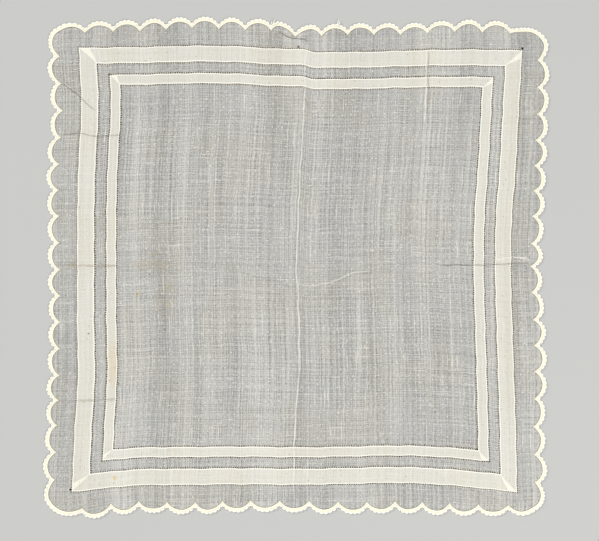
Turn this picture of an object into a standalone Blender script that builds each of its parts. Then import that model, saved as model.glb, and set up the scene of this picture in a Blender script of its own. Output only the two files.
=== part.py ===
"""A sheer white handkerchief lying face up: a square ground of fine lawn with a lobed lace edge, and two
frames of doubled lawn strips sewn on it, each mitred at its corners. Metres, +Z up, +Y to the top edge."""

import math
from collections import namedtuple

import bmesh
import bpy
import numpy as np
from mathutils import Vector
from mathutils.geometry import delaunay_2d_cdt

MM = 0.001

# Driving sizes of the flat cut, from the outermost lace inwards
SIDE = 335 * MM
LOBE_RISE = 5.8 * MM
BORDER = 14.5 * MM
OUTER_BAND = 10.9 * MM
BETWEEN_BANDS = 7.6 * MM
INNER_BAND = 7.0 * MM

# Lace edge: its width at the top of a lobe and in the notch between two lobes
LACE_AT_CREST = 2.7 * MM
LACE_AT_NOTCH = 2.2 * MM
LOBES = {"bottom": 15, "right": 16, "top": 16, "left": 16}
STEPS_PER_LOBE = 8
STEPS_PER_CORNER = 16

# Thicknesses, measured straight up
GROUND_THICK = 1.2 * MM
BAND_THICK = 1.2 * MM
LACE_THICK = 1.3 * MM

# The gap that neighbouring pieces keep. It is a little wider straight up, so that it holds on the slope of a
# crease, and along the lace, so that it holds on a lobe's steep flanks.
GAP = 0.3 * MM
GAP_UP = 0.36 * MM
GAP_AT_CREST = 0.38 * MM
GAP_IN_NOTCH = 0.95 * MM

HALF = SIDE / 2
NOTCH_LINE = HALF - LOBE_RISE
NOTCH_REACH = NOTCH_LINE - 18.3 * MM
FRAME_LINE = NOTCH_LINE - BORDER
BAND_STEP = 9.5 * MM
FILL_STEP = 13.0 * MM
FILL_CLEAR = 3.0 * MM

# How the four sides lie off their straight cut, in millimetres. A row for each place along a side, counted
# from the left or the bottom: how far out the outer frame and the notches lie there, and how far along the
# side the notches have slipped.
Station = namedtuple("Station", "along frame notches slip")
SIDES = {
    "left": (
        Station(-147, 4.2, 4.4, 4.2),
        Station(-105, 1.5, 1.8, 3.5),
        Station(-70, 0.0, 0.2, 0.9),
        Station(-35, 0.5, 0.0, 0.6),
        Station(0, 0.5, 0.1, -0.8),
        Station(35, 0.5, 0.1, -0.9),
        Station(70, -0.3, 0.4, -2.3),
        Station(105, -2.3, -1.2, -2.3),
        Station(147, -1.3, 0.9, -2.5),
    ),
    "right": (
        Station(-147, 2.0, 2.3, 4.2),
        Station(-105, 1.3, 1.3, 5.2),
        Station(-70, 0.1, 2.3, 6.0),
        Station(-35, -1.0, 0.4, 4.2),
        Station(0, -2.0, -1.3, 4.5),
        Station(14, -1.9, -1.4, 1.7),
        Station(35, -1.4, 0.1, 1.3),
        Station(70, 1.2, 1.9, -0.7),
        Station(105, 3.2, 3.3, -2.0),
        Station(147, 5.7, 4.2, -2.5),
    ),
    "bottom": (
        Station(-147, 4.3, 3.7, 3.3),
        Station(-105, 0.0, -1.7, 1.6),
        Station(-70, -0.4, -1.7, 1.1),
        Station(-35, -0.8, -2.1, -0.9),
        Station(0, -0.5, -1.6, 0.2),
        Station(35, -1.1, -0.8, 0.6),
        Station(70, -1.8, -1.8, -0.9),
        Station(105, 0.0, 0.2, -2.8),
        Station(147, 4.4, 2.0, -1.9),
    ),
    "top": (
        Station(-147, 1.4, -0.8, -0.5),
        Station(-105, 1.8, 0.3, -0.1),
        Station(-70, 2.8, 1.4, -1.9),
        Station(-35, 2.0, 1.1, -2.2),
        Station(-15, 0.3, -1.8, -3.6),
        Station(4, -0.2, -3.8, -4.8),
        Station(12, -1.3, -3.4, -5.0),
        Station(35, -1.5, -2.7, -5.5),
        Station(70, -0.8, -1.7, -6.3),
        Station(105, 0.2, -0.5, -6.2),
        Station(147, -0.3, -1.3, -4.9),
    ),
}

# How far out each side of the inner frame lies beyond that, in millimetres
INNER_FRAME_SHIFT = {"left": -0.9, "right": 0.2, "bottom": 0.2, "top": 0.3}

# The large lobe round each corner, in millimetres: its rise, and how far it leans out before its middle and in
# after it, going counter-clockwise. Each is kept under the side that it follows.
CornerLobe = namedtuple("CornerLobe", "corner rise lean")
CORNER_LOBES = {
    "bottom": CornerLobe("bottom_right", 14.2, 0.9),
    "right": CornerLobe("top_right", 13.9, 1.5),
    "top": CornerLobe("top_left", 14.1, 1.0),
    "left": CornerLobe("bottom_left", 13.1, 0.5),
}

# The creases that old folding left standing, in millimetres on the flat cut: the route, the height of the
# ridge and half its width at the foot.
Crease = namedtuple("Crease", "name route height half_width")
CREASES = (
    Crease("middle_upright_upper", ((4, 156), (2, 126), (2, 85), (2, 31), (1, -2)), 1.5, 4.0),
    Crease("middle_upright_lower", ((2, -12), (2, -66), (0, -93), (-1, -121), (-1, -157)), 1.1, 3.6),
    Crease("middle_level_left", ((-161, 3), (-124, 1), (-105, 4), (-91, 3), (-78, 1), (-45, 1)), 1.1, 3.6),
    Crease("middle_slant_left", ((-49, -3), (-37, -5), (-12, -10), (-2, -14)), 0.9, 3.2),
    Crease("middle_level_right", ((2, -12), (14, -11), (29, -8), (38, -5), (100, -5)), 1.1, 3.6),
    Crease("right_edge_level", ((99, 0), (116, 1), (147, 4), (162, 6)), 1.2, 3.6),
    Crease("left_quarter_upright", ((-83, 3), (-84, -44), (-87, -90), (-87, -158)), 0.9, 3.4),
    Crease("right_quarter_upright_top", ((83, 157), (84, 122), (84, 100)), 1.6, 4.0),
    Crease("right_quarter_upright_low", ((84, -112), (84, -157)), 0.8, 3.2),
    Crease("upper_quarter_level", ((-160, 89), (-148, 90), (-136, 88), (-118, 88)), 0.9, 3.2),
    Crease("lower_quarter_level", ((-160, -87), (-146, -87), (-118, -88)), 0.8, 3.2),
    Crease("corner_slant", ((-163, 127), (-156, 121), (-147, 114), (-138, 105)), 0.8, 3.0),
    Crease("top_pucker", ((-13, 159), (-2, 157), (5, 154)), 0.8, 2.6),
)
CREST_STEP = 11.0 * MM
SHOULDER = 0.45

# Broad low swells where the cloth does not quite touch what it lies on, in millimetres on the flat cut
Swell = namedtuple("Swell", "name x y reach_x reach_y height")
SWELLS = (
    Swell("upper_left_panel", -42, 62, 40, 52, 1.3),
    Swell("upper_right_panel", 46, 44, 40, 42, 1.0),
    Swell("lower_left_panel", -44, -66, 36, 44, 0.9),
    Swell("lower_right_panel", 44, -72, 42, 40, 1.2),
    Swell("top_left_border", -118, 138, 46, 34, 0.9),
    Swell("right_border", 140, 62, 34, 48, 1.1),
    Swell("bottom_right_border", 128, -136, 44, 36, 0.9),
    Swell("left_border", -142, -44, 30, 40, 0.8),
)


def station_curve(side, column, along):
    """The smooth curve through one column of a side's stations, read at the given places along it."""
    places = np.array([row.along for row in SIDES[side]]) * MM
    values = np.array([getattr(row, column) for row in SIDES[side]]) * MM
    slopes = np.gradient(values, places)
    along = np.clip(along, places[0], places[-1])
    i = np.clip(np.searchsorted(places, along) - 1, 0, len(places) - 2)
    width = places[i + 1] - places[i]
    u = (along - places[i]) / width
    start = (1 + 2 * u) * (1 - u) ** 2 * values[i] + u * (1 - u) ** 2 * width * slopes[i]
    end = u**2 * (3 - 2 * u) * values[i + 1] + u**2 * (u - 1) * width * slopes[i + 1]
    return start + end


def outward(side, along, reach):
    """How far out one side lies: as the outer frame does there, blending to the notches outside it and to the
    inner frame within it."""
    beyond = np.clip((reach - FRAME_LINE) / BORDER, 0, 1)
    within = np.clip((FRAME_LINE - reach) / (OUTER_BAND + BETWEEN_BANDS), 0, 1)
    frame = station_curve(side, "frame", along)
    notches = station_curve(side, "notches", along)
    return frame + beyond * (notches - frame) + within * INNER_FRAME_SHIFT[side] * MM


def lying(points):
    """Where points of the flat cut lie: each is shifted as the sides are, shared by its distance from them."""
    s, t = points[:, 0], points[:, 1]
    rightward = np.clip(s / FRAME_LINE, -1, 1) / 2 + 0.5
    upward = np.clip(t / FRAME_LINE, -1, 1) / 2 + 0.5
    x = s + rightward * outward("right", t, s) - (1 - rightward) * outward("left", t, -s)
    y = t + upward * outward("top", s, t) - (1 - upward) * outward("bottom", s, -t)
    return np.stack([x, y], axis=1)


def spaced_along(route, step):
    """Points a step apart on a route, its corners rounded off by the spacing, and how far along each is."""
    corners = np.array(route, float) * MM
    lengths = np.linalg.norm(np.diff(corners, axis=0), axis=1)
    walked = np.concatenate([[0], np.cumsum(lengths)])
    at = np.linspace(0, walked[-1], max(3, math.ceil(walked[-1] / step) + 1))
    line = np.stack([np.interp(at, walked, corners[:, axis]) for axis in (0, 1)], axis=1)
    return line, at / walked[-1]


def taper(share):
    """1 along the middle of a crease, falling smoothly to 0 at its two ends."""
    rise = np.clip(np.minimum(share, 1 - share) / 0.16, 0, 1)
    return rise * (2 - rise)


def relief(points):
    """Height of the cloth's underside over what it lies on: the swells' domes with the creases' ridges."""
    height = np.zeros(len(points))
    for swell in SWELLS:
        across = (points[:, 0] / MM - swell.x) / swell.reach_x
        up = (points[:, 1] / MM - swell.y) / swell.reach_y
        height += swell.height * MM * np.clip(1 - across**2 - up**2, 0, 1) ** 2
    for crease in CREASES:
        line, share = spaced_along(crease.route, CREST_STEP)
        best = np.full(len(points), np.inf)
        along = np.zeros(len(points))
        for i in range(len(line) - 1):
            run = line[i + 1] - line[i]
            u = np.clip((points - line[i]) @ run / (run @ run), 0, 1)
            off = np.linalg.norm(points - line[i] - u[:, None] * run, axis=1)
            nearer = off < best
            best[nearer] = off[nearer]
            along[nearer] = (share[i] + u * (share[i + 1] - share[i]))[nearer]
        part = np.clip(1 - best / (crease.half_width * MM), 0, 1)
        height += crease.height * MM * taper(along) * part**2
    return height


def arc(start, end, rise, steps, lean=0):
    """Points on the round arc from start to end that bulges to its right by rise, without the end point. A
    lean pushes it out before its middle and in after it, as one wave of a sine."""
    start, end = np.array(start), np.array(end)
    chord = end - start
    length = np.linalg.norm(chord)
    outward = np.array([chord[1], -chord[0]]) / length
    radius = (length**2 / 4 + rise**2) / (2 * rise)
    middle = (start + end) / 2 + outward * (rise - radius)
    half_turn = math.atan2(length / 2, radius - rise)
    turns = np.linspace(-half_turn, half_turn, steps + 1)[:-1, None]
    reach = radius - lean * np.sin(math.pi * turns / half_turn)
    return middle + reach * (np.cos(turns) * outward + np.sin(turns) * chord / length)


def side_notches(side, inset):
    """The notches of one side of the flat cut, in counter-clockwise order, set in from the lace's outer edge."""
    count = LOBES[side]
    along = np.linspace(-NOTCH_REACH, NOTCH_REACH, count + 1)
    along = along + station_curve(side, "slip", along)
    line = np.full(count + 1, NOTCH_LINE - inset)
    if side == "bottom":
        return np.stack([along, -line], axis=1)
    if side == "right":
        return np.stack([line, along], axis=1)
    if side == "top":
        return np.stack([along, line], axis=1)[::-1]
    return np.stack([-line, along], axis=1)[::-1]


def lobed_outline(notch_inset, crest_inset):
    """The closed lobed edge of the flat cut, set in by one amount in the notches and another at the crests."""
    rise = LOBE_RISE + notch_inset - crest_inset
    names = ("bottom", "right", "top", "left")
    sides = [side_notches(side, notch_inset) for side in names]
    pieces = []
    for i, notches in enumerate(sides):
        for start, end in zip(notches[:-1], notches[1:]):
            pieces.append(arc(start, end, rise, STEPS_PER_LOBE))
        corner = CORNER_LOBES[names[i]]
        corner_rise = corner.rise * MM + notch_inset / math.sqrt(2) - crest_inset
        next_notch = sides[(i + 1) % 4][0]
        pieces.append(arc(notches[-1], next_notch, corner_rise, STEPS_PER_CORNER, corner.lean * MM))
    return np.concatenate(pieces)


def band_halves():
    """Half the width of each frame at its outer and inner edge, for the outer and the inner frame."""
    inner = FRAME_LINE - OUTER_BAND - BETWEEN_BANDS
    return {"outer": (FRAME_LINE, FRAME_LINE - OUTER_BAND), "inner": (inner, inner - INNER_BAND)}


class Net:
    """The points and lines that the cloth's triangles must follow."""

    def __init__(self):
        self.points = []
        self.lines = []

    def add(self, line, closed=False):
        first = len(self.points)
        self.points.extend(line)
        count = len(line)
        for i in range(count if closed else count - 1):
            self.lines.append((first + i, first + (i + 1) % count))


def add_frames(net):
    """The edges of both frames, with points close enough to follow the drift of the sides, and the mitres."""
    for outer, inner in band_halves().values():
        for half in (outer, inner):
            steps = round(2 * half / BAND_STEP)
            run = np.linspace(-half, half, steps + 1)[:-1]
            level = np.full(steps, half)
            square = [(run, -level), (level, run), (-run, level), (-level, -run)]
            net.add([p for s, t in square for p in np.stack([s, t], axis=1)], closed=True)
        for right, up in ((1, 1), (-1, 1), (-1, -1), (1, -1)):
            net.add([np.array([right, up]) * inner, np.array([right, up]) * outer])


def add_creases(net):
    """The crest of each crease, with a shoulder and a foot on both sides of it."""
    for crease in CREASES:
        line, share = spaced_along(crease.route, CREST_STEP)
        tangent = np.gradient(line, axis=0)
        across = np.stack([-tangent[:, 1], tangent[:, 0]], axis=1)
        across /= np.linalg.norm(across, axis=1)[:, None]
        net.add(line)
        for part in (-1, -SHOULDER, SHOULDER, 1):
            net.add((line + across * part * crease.half_width * MM)[1:-1])


def add_fill(net):
    """A plain grid of points between the lines, none of them crowding a point that is there already."""
    run = np.arange(-NOTCH_LINE + FILL_STEP, NOTCH_LINE - FILL_STEP / 2, FILL_STEP)
    taken = np.array(net.points)
    for t in run:
        for s in run:
            if np.linalg.norm(taken - (s, t), axis=1).min() > FILL_CLEAR:
                net.points.append(np.array([s, t]))


def triangulated():
    """The flat cut inside its outline, as points and triangles that follow the frames and the creases."""
    net = Net()
    outline = lobed_outline(LACE_AT_NOTCH + GAP_IN_NOTCH, LACE_AT_CREST + GAP_AT_CREST)
    net.add(outline, closed=True)
    add_frames(net)
    add_creases(net)
    add_fill(net)
    points = [Vector(p) for p in net.points]
    found = delaunay_2d_cdt(points, net.lines, [list(range(len(outline)))], 1, 1e-6)
    return np.array(found[0]), [tuple(face) for face in found[2]]


def strip_of(middle, outer, inner):
    """The strip of a frame that a triangle belongs to, or None where it is off the frame."""
    s, t = middle
    if not inner < max(abs(s), abs(t)) < outer:
        return None
    if abs(t) > abs(s):
        return "top" if t > 0 else "bottom"
    return "right" if s > 0 else "left"


def drawn_from_mitre(points, strip):
    """Points on a mitre moved along the strip, so that it stays clear of the strip it meets."""
    moved = points.copy()
    axis = 0 if strip in ("top", "bottom") else 1
    on_mitre = np.abs(np.abs(points[:, 0]) - np.abs(points[:, 1])) < 1e-5
    moved[on_mitre, axis] -= np.sign(points[on_mitre, axis]) * GAP / math.sqrt(2)
    return moved


def cloth_material(name, colour, roughness):
    material = bpy.data.materials.new(name)
    material.use_nodes = True
    shader = material.node_tree.nodes["Principled BSDF"]
    shader.inputs["Base Color"].default_value = (*colour, 1)
    shader.inputs["Roughness"].default_value = roughness
    shader.inputs["Metallic"].default_value = 0
    return material


def middle_of_sheet():
    """The middle of the whole sheet as it lies, which goes to the origin."""
    outline = lying(lobed_outline(0, 0))
    return (outline.min(axis=0) + outline.max(axis=0)) / 2


def sheet_object(name, cut, faces, lift, thickness, material):
    """A sheet of cloth: faces of the flat cut laid out over the relief, and thickened straight up."""
    places = np.column_stack([lying(cut) - middle_of_sheet(), relief(cut) + lift])
    bm = bmesh.new()
    verts = {i: bm.verts.new(places[i]) for i in sorted({i for face in faces for i in face})}
    bottom = [bm.faces.new([verts[i] for i in face]) for face in faces]
    top = bmesh.ops.extrude_face_region(bm, geom=bottom, use_keep_orig=True)
    raised = [part for part in top["geom"] if isinstance(part, bmesh.types.BMVert)]
    bmesh.ops.translate(bm, vec=(0, 0, thickness), verts=raised)
    bmesh.ops.recalc_face_normals(bm, faces=bm.faces)
    mesh = bpy.data.meshes.new(name)
    bm.to_mesh(mesh)
    bm.free()
    mesh.shade_smooth()
    mesh.set_sharp_from_angle(angle=math.radians(40))
    mesh.materials.append(material)
    made = bpy.data.objects.new(name, mesh)
    bpy.context.scene.collection.objects.link(made)
    return made


def make_ground(cut, faces, material):
    """The square of lawn, up to the inner edge of its lace."""
    sheet_object("lawn_ground", cut, faces, 0, GROUND_THICK, material)


def make_frame(frame, cut, faces, material):
    """One frame of four mitred strips on the ground, made from the ground's own triangles."""
    outer, inner = band_halves()[frame]
    strips = {"top": [], "right": [], "bottom": [], "left": []}
    for face in faces:
        strip = strip_of(cut[list(face)].mean(axis=0), outer, inner)
        if strip:
            strips[strip].append(face)
    for strip, own in strips.items():
        drawn = drawn_from_mitre(cut, strip)
        name = f"{frame}_band_{strip}"
        sheet_object(name, drawn, own, GROUND_THICK + GAP_UP, BAND_THICK, material)


def make_lace(material):
    """The lace sewn along the lobed edge: wide on the crests and narrow in the notches."""
    outside = lobed_outline(0, 0)
    inside = lobed_outline(LACE_AT_NOTCH, LACE_AT_CREST)
    count = len(outside)
    ring = [(i, (i + 1) % count, count + (i + 1) % count, count + i) for i in range(count)]
    sheet_object("lace_edging", np.concatenate([outside, inside]), ring, 0, LACE_THICK, material)


def main():
    for old in list(bpy.data.objects):
        bpy.data.objects.remove(old, do_unlink=True)
    cut, faces = triangulated()
    make_ground(cut, faces, cloth_material("sheer lawn", (0.47, 0.47, 0.46), 0.85))
    make_frame("outer", cut, faces, cloth_material("outer band lawn", (0.74, 0.72, 0.65), 0.85))
    make_frame("inner", cut, faces, cloth_material("inner band lawn", (0.78, 0.75, 0.68), 0.85))
    make_lace(cloth_material("cream lace thread", (0.88, 0.82, 0.66), 0.8))


main()
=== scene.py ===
"""A sheer white lawn handkerchief laid open: a lobed lace edge, two hemstitched frames of doubled lawn with
mitred corners, and the creases that years of folding left in it."""

import math
from collections import namedtuple
from functools import partial

import bpy
import numpy as np
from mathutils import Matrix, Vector
from mathutils.geometry import delaunay_2d_cdt


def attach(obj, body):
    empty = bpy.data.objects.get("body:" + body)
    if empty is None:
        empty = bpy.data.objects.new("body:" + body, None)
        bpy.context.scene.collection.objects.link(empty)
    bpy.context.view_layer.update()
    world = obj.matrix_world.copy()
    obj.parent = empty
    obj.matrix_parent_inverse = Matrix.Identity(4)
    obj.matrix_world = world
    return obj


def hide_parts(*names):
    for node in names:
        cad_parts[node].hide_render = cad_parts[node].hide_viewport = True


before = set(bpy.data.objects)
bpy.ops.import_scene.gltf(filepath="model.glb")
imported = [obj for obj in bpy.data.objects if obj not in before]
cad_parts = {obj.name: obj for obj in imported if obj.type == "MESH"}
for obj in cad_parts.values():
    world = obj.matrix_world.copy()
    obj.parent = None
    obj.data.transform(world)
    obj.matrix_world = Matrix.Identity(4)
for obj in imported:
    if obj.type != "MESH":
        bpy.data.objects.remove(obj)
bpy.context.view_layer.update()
MM = 0.001

# The flat cut
# The cloth was cut and hemstitched square, and has since drifted out of square. Every piece is drawn on the
# square cut, in plan coordinates s (to the right) and t (up), and laid out by lying() and relief().

SIDE = 335 * MM
LOBE_RISE = 5.8 * MM
BORDER = 14.5 * MM
OUTER_BAND = 10.9 * MM
BETWEEN_BANDS = 7.6 * MM
INNER_BAND = 7.0 * MM
LOBES = {"bottom": 15, "right": 16, "top": 16, "left": 16}
STEPS_PER_LOBE = 16
STEPS_PER_CORNER = 28

NOTCH_LINE = SIDE / 2 - LOBE_RISE
NOTCH_REACH = NOTCH_LINE - 18.3 * MM
FRAME_LINE = NOTCH_LINE - BORDER
INNER_LINE = FRAME_LINE - OUTER_BAND - BETWEEN_BANDS
FRAMES = {"outer": (FRAME_LINE, FRAME_LINE - OUTER_BAND), "inner": (INNER_LINE, INNER_LINE - INNER_BAND)}

# The rows of drawn threads run this far beside the bands' edges
HOLE_OFF = 0.45 * MM

# For each row, how dark it shows, and how big its holes are on each side, where 1 is the usual hole
Row = namedtuple("Row", "frame edge gutter top right bottom left")
HOLE_ROWS = (
    Row("outer", "outer", 0.60, 0.85, 0.75, 0.75, 0.65),
    Row("outer", "inner", 0.40, 0.65, 0.95, 0.90, 1.05),
    Row("inner", "outer", 0.50, 1.00, 1.00, 0.95, 1.00),
    Row("inner", "inner", 0.40, 0.65, 1.05, 0.85, 1.05),
)

# How much deeper each side's outer edge was turned under, so that the strip is narrower, in millimetres
TURNED_IN = {
    "outer": {"top": 0.2, "right": 0.0, "bottom": 0.0, "left": 0.0},
    "inner": {"top": 0.3, "right": 0.2, "bottom": 0.3, "left": 0.5},
}

# How many quarters each side is turned, counter-clockwise, from the top one, which is drawn
TURNS = {"top": 0, "left": 1, "bottom": 2, "right": 3}


def turned(flat, quarters):
    """Points turned round the middle by a number of quarters, counter-clockwise."""
    s, t = flat[:, 0], flat[:, 1]
    for _ in range(quarters % 4):
        s, t = -t, s
    return np.stack([s, t], axis=1)


def strip_edges(frame_name, side):
    """How far from the middle a strip's outer and inner edges run."""
    outer, inner = FRAMES[frame_name]
    return outer - TURNED_IN[frame_name][side] * MM, inner


def hole_line(row, side):
    """How far from the middle a row of drawn threads runs."""
    outer, inner = strip_edges(row.frame, side)
    return outer + HOLE_OFF if row.edge == "outer" else inner - HOLE_OFF


# How far out each side's frame and notches lie, and how far its notches have slipped along it, in millimetres
Station = namedtuple("Station", "along frame notches slip")
SIDES = {
    "left": [Station(*row) for row in (
        (-147, 4.2, 4.3, 4.2), (-105, 2.2, 1.7, 4.5), (-70, 0.0, 0.5, 1.9),
        (-35, 0.5, -0.4, 1.4), (0, 0.5, 0.0, 0.2), (35, 0.5, 0.5, -0.3),
        (70, -0.3, 0.8, -1.8), (105, -2.3, -1.9, -2.3), (147, -0.6, 1.5, -2.1),
    )],
    "right": [Station(*row) for row in (
        (-147, 2.0, 2.9, 2.5), (-105, 1.3, 0.8, 4.0), (-70, 0.1, 2.0, 4.8),
        (-35, -1.0, 1.0, 3.2), (0, -2.0, -1.2, 2.9), (14, -1.9, -0.8, 0.1),
        (35, -1.4, 0.2, 0.3), (70, 1.2, 1.6, -1.8), (105, 3.2, 3.2, -3.3),
        (147, 5.7, 3.8, -3.0),
    )],
    "bottom": [Station(*row) for row in (
        (-147, 4.3, 4.0, 2.8), (-105, 0.0, -1.6, 1.2), (-70, -0.4, -0.8, 0.8),
        (-35, -0.8, -2.2, -0.9), (0, -0.5, -2.0, -0.5), (35, -1.1, -0.9, -0.2),
        (70, -1.8, -1.5, -0.7), (105, 0.0, 0.0, -2.9), (147, 4.4, 0.8, -1.9),
    )],
    "top": [Station(*row) for row in (
        (-147, 1.4, -1.3, 0.1), (-105, 1.8, 0.1, 0.0), (-70, 2.8, 2.0, -1.0),
        (-35, 2.0, 0.6, -1.5), (-18, 0.8, -0.0, -2.1), (-6, 0.7, -3.8, -3.6),
        (1, 0.6, -4.2, -4.1), (8, -1.7, -3.4, -4.4), (17, -1.4, -3.1, -4.5),
        (35, -1.5, -2.5, -5.0), (70, -0.5, -2.4, -5.9), (105, 0.2, -0.3, -5.3),
        (147, -0.3, -1.8, -4.2),
    )],
}

# How far out each side of the inner frame lies beyond that, in millimetres
INNER_FRAME_SHIFT = {"left": -0.9, "right": 0.2, "bottom": 0.2, "top": 0.3}

# The large lobe round each corner, in millimetres, kept under the side that it follows counter-clockwise: its
# rise, and how far it leans out before its middle and in after it
CornerLobe = namedtuple("CornerLobe", "rise lean")
CORNER_LOBES = {
    "bottom": CornerLobe(14.2, 0.9),
    "right": CornerLobe(13.9, 1.5),
    "top": CornerLobe(14.1, 1.0),
    "left": CornerLobe(13.1, 0.5),
}

# Old creases on the flat cut, in millimetres: a low rounded rise of the cloth along the route, and a sharp
# fold in its middle that stands up (plus) or sinks in (minus). Their shade is painted light: a painted
# highlight along the fold (plus), partly the doubled lawn's own paleness, and painted shade in and beside it
# (minus). The rows named beside mostly lay a line of painted shade next to a fold; right_edge_beside lays a
# painted highlight.
Crease = namedtuple("Crease", "name route rise half_width fold fold_half_width shade")
CREASES = [Crease(*row) for row in (
    ("middle_upright_top", ((4, 156), (3, 140), (2, 104)), 0.9, 4.0, 0.2, 1.2, 0.2),
    ("middle_upright_upper", ((2, 118), (2, 85), (2, 31), (1, -2), (1, -13)), 0.9, 4.0, 0.6, 0.8, 0.48),
    ("middle_upright_lower", ((1, -4), (2, -16), (2, -66), (0, -93), (-1, -121), (-1, -157)),
     0.6, 3.6, 0.5, 0.8, 0.5),
    ("middle_lower_beside", ((3, -60), (2, -93), (1, -121)), 0.0, 2.0, -0.3, 0.9, -0.22),
    ("middle_level_left", ((-161, 3), (-124, 1), (-105, 4), (-91, 3), (-78, 1), (-45, 1)),
     0.7, 3.6, -0.4, 0.9, -0.16),
    ("middle_slant_left", ((-49, -3), (-37, -5), (-12, -10), (-2, -14)), 0.5, 3.2, -0.5, 0.9, -0.22),
    ("middle_level_right", ((1, -12), (12, -12), (18, -11), (30, -8), (37, -4), (53, -2)),
     0.6, 3.6, 0.5, 0.75, 0.32),
    ("middle_level_far_right", ((48, -2), (70, -3), (81, -5), (91, -4), (103, -2)),
     0.6, 3.6, -0.3, 0.8, -0.16),
    ("right_edge_level", ((97, 1), (116, 2), (132, 3), (147, 5), (160, 5)), 0.7, 3.6, -0.7, 0.7, -0.46),
    ("right_edge_beside", ((137, 6.8), (146, 9.3), (152, 8.8), (159, 7.8)), 0.3, 2.4, 0.6, 0.8, 0.55),
    ("left_quarter_upright", ((-83, 3), (-84, -44), (-87, -90), (-87, -158)), 0.6, 3.4, 0.25, 1.5, 0.06),
    ("right_quarter_upright_top", ((83, 148), (84, 122), (84, 97)), 0.5, 4.0, 1.0, 0.95, 0.62),
    ("right_quarter_beside", ((84.5, 147), (85.5, 122), (85.5, 100)), 0.0, 2.0, -0.3, 0.9, -0.5),
    ("right_quarter_upright_low", ((84, -112), (84, -157)), 0.5, 3.2, 0.3, 1.2, 0.1),
    ("upper_quarter_level", ((-160, 89), (-148, 90), (-136, 88), (-118, 88)), 0.6, 3.2, -0.6, 0.75, -0.48),
    ("lower_quarter_level", ((-160, -87), (-146, -87), (-118, -88)), 0.5, 3.2, -0.4, 1.2, -0.2),
    ("corner_slant", ((-161, 124.8), (-153.7, 119), (-146.5, 112.6), (-138.5, 104.9)),
     0.5, 3.0, -0.6, 0.75, -0.58),
    ("corner_slant_beside", ((-160.5, 128), (-156.5, 124.6), (-152.5, 120.6)), 0.2, 2.0, -0.4, 0.7, -0.42),
    ("top_pucker", ((-15, 160), (-8, 158), (-2, 157), (4, 157)), 0.5, 2.6, -0.6, 0.8, -0.7),
    ("top_pucker_fork", ((0, 157), (3, 156), (6, 154)), 0.2, 2.0, -0.4, 0.7, -0.4),
    ("little_pucker", ((2, 114), (5, 110), (9, 104)), 0.2, 2.0, -0.4, 0.7, -0.35),
)]

# How high the fine crinkle between the creases stands
CRINKLE = 0.09 * MM

# Broad low swells where the cloth does not quite touch what it lies on, in millimetres on the flat cut
Swell = namedtuple("Swell", "name x y reach_x reach_y height")
SWELLS = (
    Swell("upper_left_panel", -42, 62, 40, 52, 1.3),
    Swell("upper_right_panel", 46, 44, 40, 42, 1.0),
    Swell("lower_left_panel", -44, -66, 36, 44, 0.9),
    Swell("lower_right_panel", 44, -72, 42, 40, 1.2),
    Swell("top_left_border", -118, 138, 46, 34, 0.9),
    Swell("right_border", 140, 62, 34, 48, 1.1),
    Swell("bottom_right_border", 128, -136, 44, 36, 0.9),
    Swell("left_border", -142, -44, 30, 40, 0.8),
)


def station_curve(side, column, along):
    """The smooth cubic curve through one column of a side's stations, read at the given places along it."""
    places = np.array([row.along for row in SIDES[side]]) * MM
    values = np.array([getattr(row, column) for row in SIDES[side]]) * MM
    slopes = np.gradient(values, places)
    along = np.clip(along, places[0], places[-1])
    i = np.clip(np.searchsorted(places, along) - 1, 0, len(places) - 2)
    width = places[i + 1] - places[i]
    u = (along - places[i]) / width
    start = (1 + 2 * u) * (1 - u) ** 2 * values[i] + u * (1 - u) ** 2 * width * slopes[i]
    end = u**2 * (3 - 2 * u) * values[i + 1] + u**2 * (u - 1) * width * slopes[i + 1]
    return start + end


def outward(side, along, reach):
    """How far out one side lies: as its outer frame does there, blending to its notches outside it and to the
    inner frame within it."""
    beyond = np.clip((reach - FRAME_LINE) / BORDER, 0, 1)
    within = np.clip((FRAME_LINE - reach) / (OUTER_BAND + BETWEEN_BANDS), 0, 1)
    outer = station_curve(side, "frame", along)
    notches = station_curve(side, "notches", along)
    return outer + beyond * (notches - outer) + within * INNER_FRAME_SHIFT[side] * MM


def drifted(flat):
    """Plan positions of the flat cut's points: the sides' drift, shared by the distance from each side."""
    s, t = flat[:, 0], flat[:, 1]
    rightward = np.clip(s / FRAME_LINE, -1, 1) / 2 + 0.5
    upward = np.clip(t / FRAME_LINE, -1, 1) / 2 + 0.5
    x = s + rightward * outward("right", t, s) - (1 - rightward) * outward("left", t, -s)
    y = t + upward * outward("top", s, t) - (1 - upward) * outward("bottom", s, -t)
    return np.stack([x, y], axis=1)


def lobe_arc(start, end, rise, steps, lean=0):
    """Points on the round arc from start to end that bulges to its right by rise, without the end point. A
    lean pushes it out before its middle and in after it, as one wave of a sine."""
    start, end = np.array(start), np.array(end)
    chord = end - start
    length = np.linalg.norm(chord)
    out = np.array([chord[1], -chord[0]]) / length
    radius = (length**2 / 4 + rise**2) / (2 * rise)
    middle = (start + end) / 2 + out * (rise - radius)
    half_turn = math.atan2(length / 2, radius - rise)
    turns = np.linspace(-half_turn, half_turn, steps + 1)[:-1, None]
    reach = radius - lean * np.sin(math.pi * turns / half_turn)
    return middle + reach * (np.cos(turns) * out + np.sin(turns) * chord / length)


def side_notches(side, inset):
    """The notches of one side of the flat cut, counter-clockwise, set in from the lace's outer edge."""
    along = np.linspace(-NOTCH_REACH, NOTCH_REACH, LOBES[side] + 1)
    along = along + station_curve(side, "slip", along)
    line = np.full(len(along), NOTCH_LINE - inset)
    if side in ("bottom", "right"):
        return turned(np.stack([-along, line], axis=1), TURNS[side])
    return turned(np.stack([along, line], axis=1), TURNS[side])[::-1]


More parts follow.
